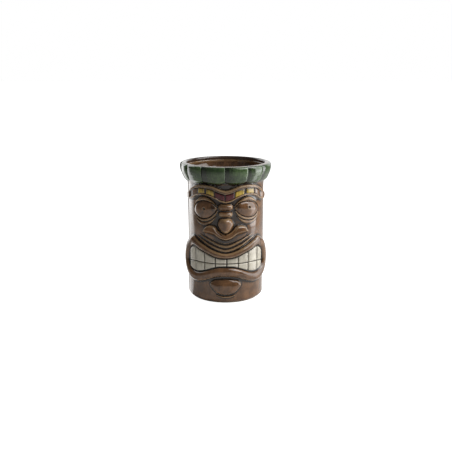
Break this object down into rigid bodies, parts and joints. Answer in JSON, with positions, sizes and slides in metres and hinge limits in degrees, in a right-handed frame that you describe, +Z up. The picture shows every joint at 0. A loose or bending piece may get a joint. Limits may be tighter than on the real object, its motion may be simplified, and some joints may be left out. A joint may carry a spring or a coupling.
{
  "type": "tiki mug",
  "caption": "Tall glazed ceramic cup with a carved mask in relief on its front and a flared collar of leaves under the rim.",
  "frame": {"origin": "middle of the foot ring's resting face, on the cup's axis", "axes": "+Z up along the cup's axis, -Y out of the mask's face, +X to the right of someone who faces the mask"},
  "size_m": [0.0969, 0.097, 0.145],
  "materials": {
    "brown_glaze": "gloss",
    "dark_glaze": "gloss",
    "green_glaze": "gloss",
    "gold_glaze": "gloss",
    "red_glaze": "gloss",
    "ivory_glaze": "gloss",
    "rim_glaze": "gloss",
    "bare_clay": "matte"
  },
  "bodies": {
    "root": {"brow_band": "brown_glaze", "brow_tile_brown_left": "brown_glaze", "brow_tile_brown_right": "brown_glaze", "brow_tile_gold_inner_left": "gold_glaze", "brow_tile_gold_inner_right": "gold_glaze", "brow_tile_gold_outer_left": "gold_glaze", "brow_tile_gold_outer_right": "gold_glaze", "brow_tile_red_left": "red_glaze", "brow_tile_red_right": "red_glaze", "chin": "brown_glaze", "chin_crease": "brown_glaze", "cup_body": "brown_glaze", "eye_bag_left": "brown_glaze", "eye_bag_right": "brown_glaze", "eye_left": "brown_glaze", "eye_right": "brown_glaze", "foot_ring": "bare_clay", "gum_plate": "dark_glaze", "leaf_01": "green_glaze", "leaf_02": "green_glaze", "leaf_03": "green_glaze", "leaf_04": "green_glaze", "leaf_05": "green_glaze", "leaf_06": "green_glaze", "leaf_07": "green_glaze", "leaf_08": "green_glaze", "leaf_09": "green_glaze", "leaf_10": "green_glaze", "leaf_11": "green_glaze", "leaf_12": "green_glaze", "leaf_13": "green_glaze", "lip_fold_lower": "brown_glaze", "lip_fold_upper": "brown_glaze", "lips": "brown_glaze", "lower_eyelid_left": "brown_glaze", "lower_eyelid_right": "brown_glaze", "nose_bridge_lower": "brown_glaze", "nose_bridge_upper": "brown_glaze", "nose_tip": "brown_glaze", "nose_wings": "brown_glaze", "rim_lip": "rim_glaze", "tooth_lower_1": "ivory_glaze", "tooth_lower_2": "ivory_glaze", "tooth_lower_3": "ivory_glaze", "tooth_lower_4": "ivory_glaze", "tooth_lower_5": "ivory_glaze", "tooth_lower_6": "ivory_glaze", "tooth_lower_7": "ivory_glaze", "tooth_lower_8": "ivory_glaze", "tooth_upper_1": "ivory_glaze", "tooth_upper_2": "ivory_glaze", "tooth_upper_3": "ivory_glaze", "tooth_upper_4": "ivory_glaze", "tooth_upper_5": "ivory_glaze", "tooth_upper_6": "ivory_glaze", "tooth_upper_7": "ivory_glaze", "tooth_upper_8": "ivory_glaze", "upper_eyelid_left": "brown_glaze", "upper_eyelid_right": "brown_glaze"}
  },
  "joints": []
}
